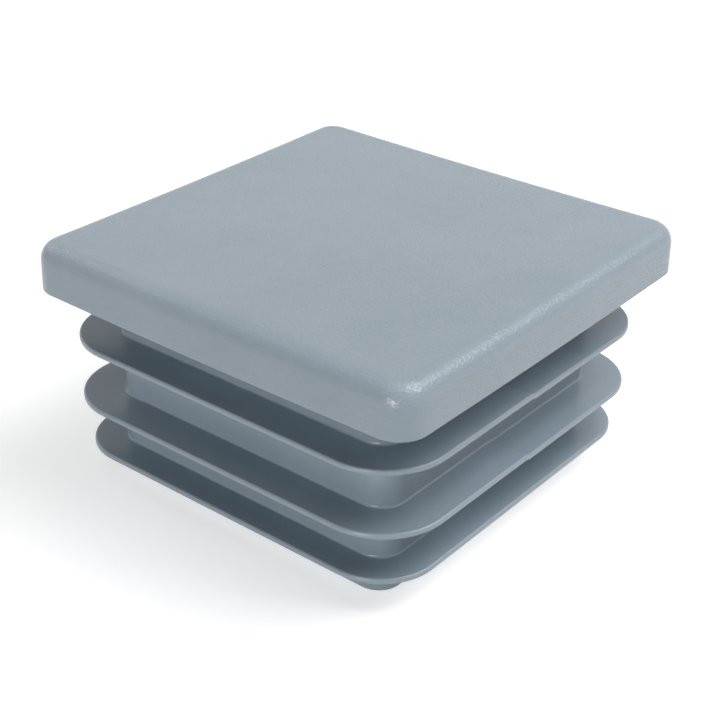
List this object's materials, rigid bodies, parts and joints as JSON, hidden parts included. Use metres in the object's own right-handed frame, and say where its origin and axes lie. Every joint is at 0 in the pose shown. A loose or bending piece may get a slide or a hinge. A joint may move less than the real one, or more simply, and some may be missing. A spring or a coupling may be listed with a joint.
{
  "type": "tube end cap",
  "caption": "Square push-in end cap for square tube: flat head with soft upper edges over a hollow square plug with thin fins that grip the tube's inside.",
  "frame": {"origin": "centre of the head's underside, the face that seats on the tube's cut end", "axes": "+Z out of the tube through the head, X and Y square to the plug's sides"},
  "size_m": [0.05, 0.05, 0.0284],
  "materials": {
    "ldpe": "moulded low-density polyethylene, blue-grey, fine matt grain"
  },
  "bodies": {
    "root": {"end_cap": "ldpe"}
  },
  "joints": []
}
